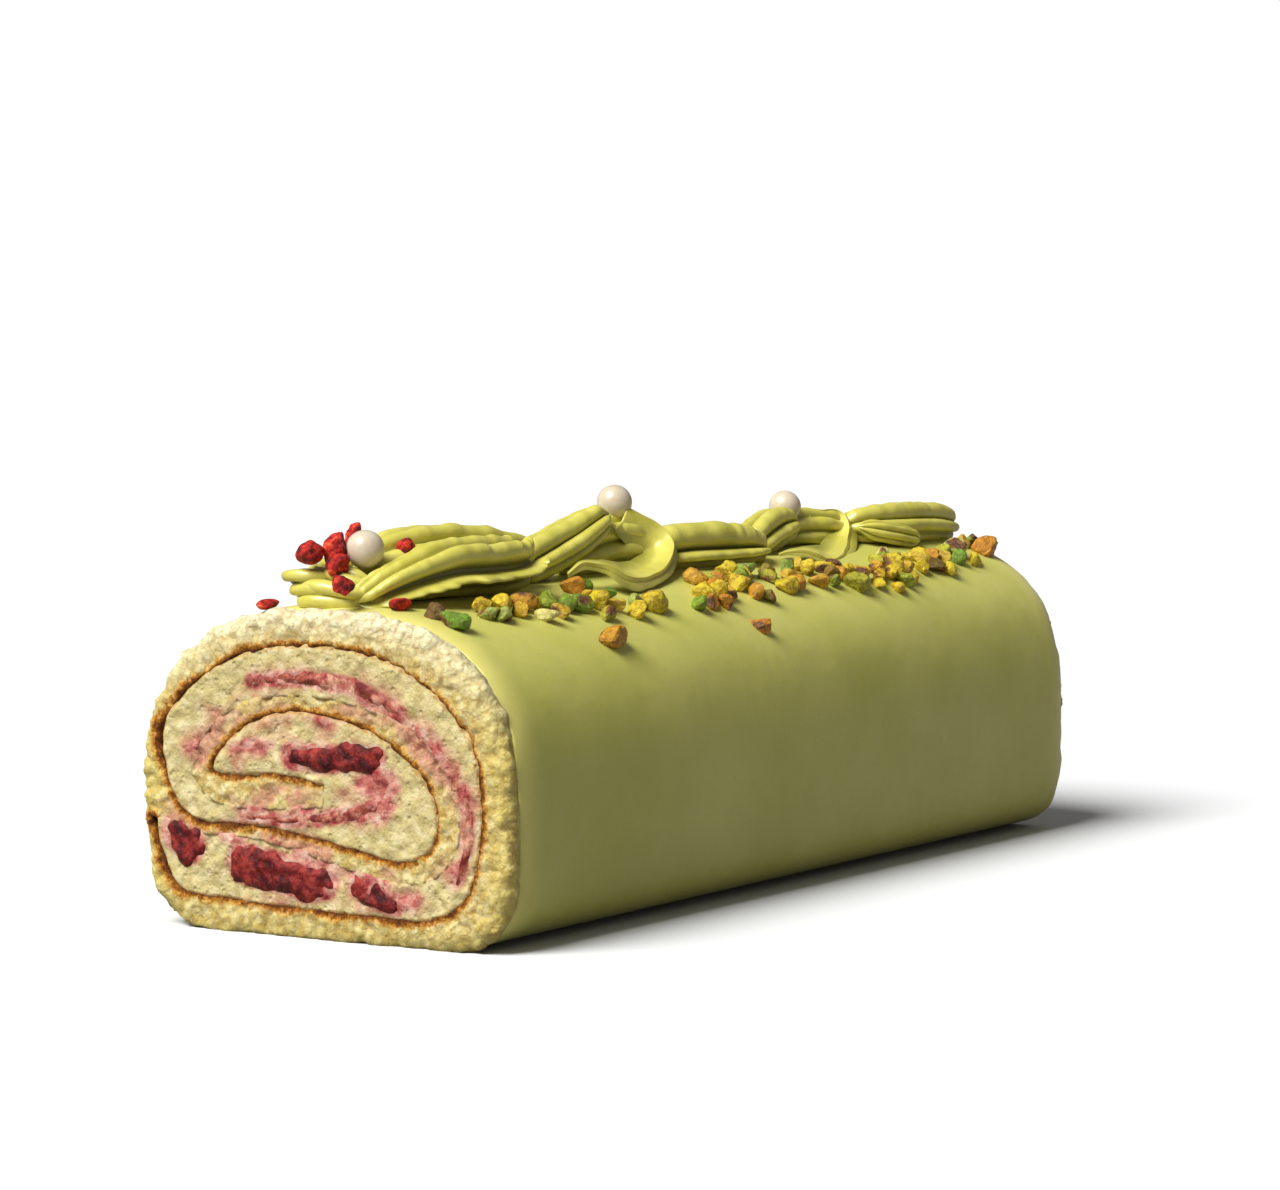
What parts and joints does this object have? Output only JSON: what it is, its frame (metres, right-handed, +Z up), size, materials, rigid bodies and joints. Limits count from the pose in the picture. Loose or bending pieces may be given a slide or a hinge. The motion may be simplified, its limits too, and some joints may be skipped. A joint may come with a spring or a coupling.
{
  "type": "swiss roll cake",
  "caption": "Whole swiss roll cake, cut at both ends, with a spiral of sponge, cream and red berry, satin green icing, piped cream, sugar pearls and chopped nuts.",
  "frame": {"origin": "middle of the flat underside, at the centre of the bounding box in X and Y", "axes": "+X along the roll, away from the cut end that the picture shows; +Y across it, -Y being the long side that the picture shows; +Z up"},
  "size_m": [0.26, 0.1, 0.0954],
  "materials": {
    "sponge": "open crumb, matt, with a browned face on the inner side of the rolled sheet",
    "filling": "smooth pale green cream, satin",
    "berry": "moist dark red berry flesh",
    "berry_stain": "cream stained pink and red by berry",
    "icing": "thin satin coat, pale pistachio green",
    "piped_cream": "soft satin piped cream, green",
    "pearl": "polished sugar, warm white",
    "dried_berry": "rough dried red berry"
  },
  "bodies": {
    "root": {"sponge": "sponge", "cream_filling": "filling", "icing": "icing", "filling_berry_1": "berry", "filling_berry_2": "berry", "filling_berry_3": "berry", "filling_berry_4": "berry", "berry_streak_1": "berry_stain", "berry_streak_2": "berry_stain", "berry_streak_3": "berry_stain", "piped_cream_1": "piped_cream", "piped_cream_2": "piped_cream", "piped_cream_3": "piped_cream", "piped_cream_4": "piped_cream", "piped_cream_5": "piped_cream", "pearl_1": "pearl", "pearl_2": "pearl", "pearl_3": "pearl", "dried_berry_1": "dried_berry", "dried_berry_2": "dried_berry", "dried_berry_3": "dried_berry", "dried_berry_4": "dried_berry", "dried_berry_5": "dried_berry", "dried_berry_6": "dried_berry", "dried_berry_7": "dried_berry", "dried_berry_8": "dried_berry"}
  },
  "joints": []
}
